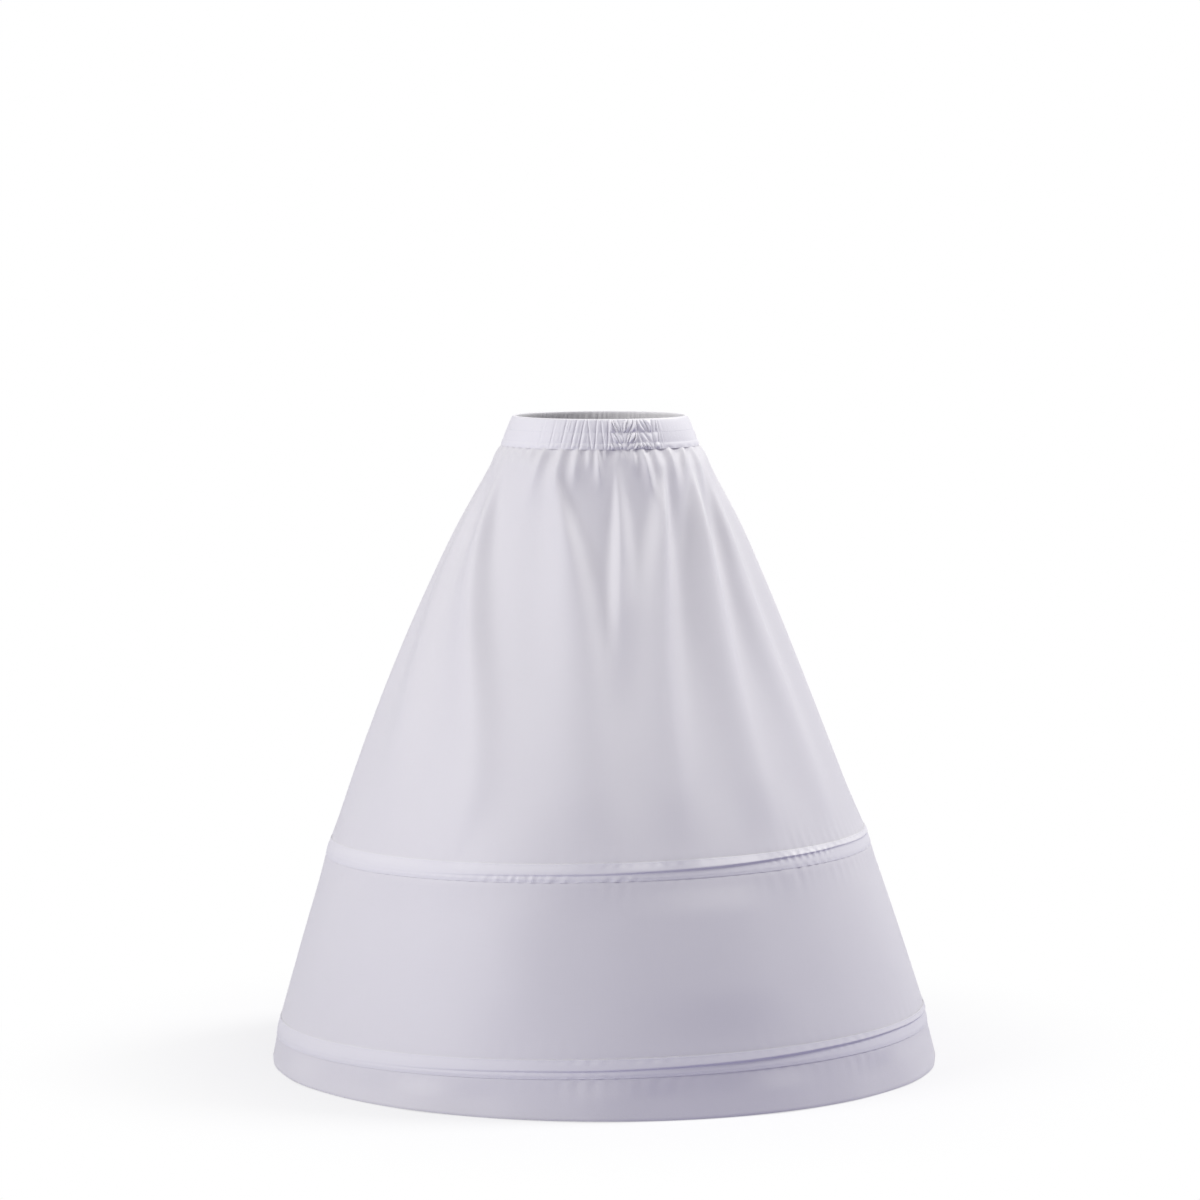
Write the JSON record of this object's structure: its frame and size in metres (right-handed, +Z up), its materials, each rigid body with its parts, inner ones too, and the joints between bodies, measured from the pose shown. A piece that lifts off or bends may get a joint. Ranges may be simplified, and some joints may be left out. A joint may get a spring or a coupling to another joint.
{
  "type": "hooped petticoat",
  "caption": "White hooped petticoat: cloth skirt gathered into a ruched elastic waistband, held out in a bell shape by sprung hoops in sewn-on tape casings, with a narrow turned hem.",
  "frame": {"origin": "middle of the waist opening, level with the top edge of the waistband", "axes": "+Z up out of the waist opening, the front faces -Y, +X is the viewer's right in the picture"},
  "size_m": [0.9542, 0.9544, 0.923],
  "materials": {
    "skirt_cloth": "white taffeta with a soft satin sheen",
    "casing_tape": "white taffeta tape, edge-stitched",
    "elastic": "woven elastic",
    "boning": "plastic-coated flat spring steel",
    "joiner": "moulded sleeve"
  },
  "bodies": {
    "root": {"waistband": "skirt_cloth", "waist_elastic_upper": "elastic", "waist_elastic_lower": "elastic", "upper_skirt_front": "skirt_cloth", "upper_skirt_back": "skirt_cloth", "upper_hoop_casing": "casing_tape", "upper_hoop": "boning", "upper_hoop_joiner": "joiner", "lower_skirt_front": "skirt_cloth", "lower_skirt_back": "skirt_cloth", "lower_hoop_casing": "casing_tape", "lower_hoop": "boning", "lower_hoop_joiner": "joiner", "hem_band_front": "skirt_cloth", "hem_band_back": "skirt_cloth"}
  },
  "joints": []
}
